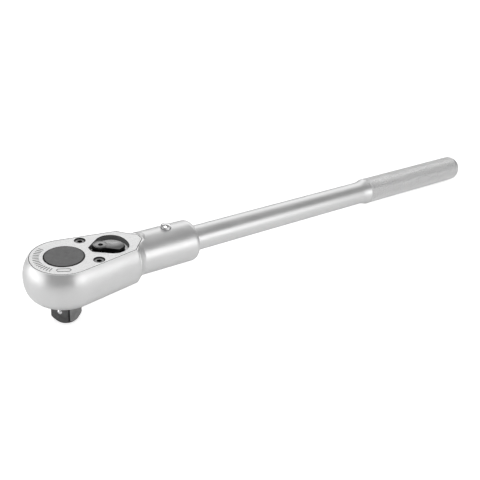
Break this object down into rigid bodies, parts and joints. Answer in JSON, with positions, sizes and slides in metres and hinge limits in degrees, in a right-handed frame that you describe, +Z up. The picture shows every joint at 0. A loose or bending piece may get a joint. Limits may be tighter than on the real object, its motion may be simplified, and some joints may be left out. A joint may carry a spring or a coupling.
{
  "type": "ratchet wrench",
  "caption": "Reversible ratchet wrench with a dark square drive tang, a swinging reversing lever and a long round knurled handle locked in its head by a press button.",
  "frame": {"origin": "on the drive axis, level with the flat underside of the head, where a socket's end face comes to rest", "axes": "+X along the handle towards the grip, +Z up through the cover plate; the square tang points along -Z"},
  "size_m": [0.5382, 0.0674, 0.0666],
  "materials": {
    "satin_chrome": "satin",
    "handle_chrome": "satin",
    "ground_plate": "fine ground, matt",
    "gasket_fibre": "matt",
    "black_screw": "satin",
    "bright_steel": "polished",
    "dark_phosphate": "satin",
    "lever_phosphate": "satin",
    "spring_steel": "satin",
    "bush_bronze": "satin",
    "seal_rubber": "matt"
  },
  "bodies": {
    "head": {"head_body": "satin_chrome", "cover_plate": "ground_plate", "cover_gasket": "gasket_fibre", "cover_screws": "black_screw", "cover_dowels": "bright_steel", "drive_bush": "bush_bronze", "thrust_washer": "bush_bronze", "disc_spring": "spring_steel", "lever_seal": "seal_rubber", "handle_bar": "handle_chrome", "lock_pin_spring": "spring_steel"},
    "drive": {"drive_gear": "dark_phosphate", "drive_seal": "seal_rubber", "boss_seal": "seal_rubber", "drive_ball_spring": "spring_steel"},
    "detent_ball": {"drive_ball": "bright_steel"},
    "lever": {"reversing_lever": "lever_phosphate", "lever_retaining_ring": "spring_steel", "pawl_plunger": "bright_steel", "plunger_spring": "spring_steel"},
    "pawl": {"pawl": "dark_phosphate"},
    "lock_button": {"handle_button": "bright_steel", "handle_lock_pin": "bright_steel"}
  },
  "joints": [
    {"name": "drive_spin", "type": "hinge", "parent": "head", "child": "drive", "pos_m": [0, 0, 0], "axis": [0, 0, 1], "continuous": true},
    {"name": "drive_ball_press", "type": "slide", "parent": "drive", "child": "detent_ball", "axis": [0.8599, 0.5105, 0], "range_m": [0, 0.0012], "stiffness_N_per_m": 4000, "springref_m": -0.002, "deforming": ["drive_ball_spring"]},
    {"name": "lever_swing", "type": "hinge", "parent": "head", "child": "lever", "pos_m": [0.0327, 0, 0], "axis": [0, 0, 1], "range_deg": [0, 66]},
    {"name": "pawl_rock", "type": "hinge", "parent": "head", "child": "pawl", "pos_m": [0.0327, 0, 0], "axis": [0, 0, 1], "range_deg": [-6, 0]},
    {"name": "handle_button_press", "type": "slide", "parent": "head", "child": "lock_button", "axis": [0, 0, -1], "range_m": [0, 0.0036], "stiffness_N_per_m": 2000, "springref_m": -0.002, "deforming": ["lock_pin_spring"]}
  ],
  "couplings": [
    {"joint": "pawl_rock", "follows": "lever_swing", "ratio": -0.090909}
  ]
}
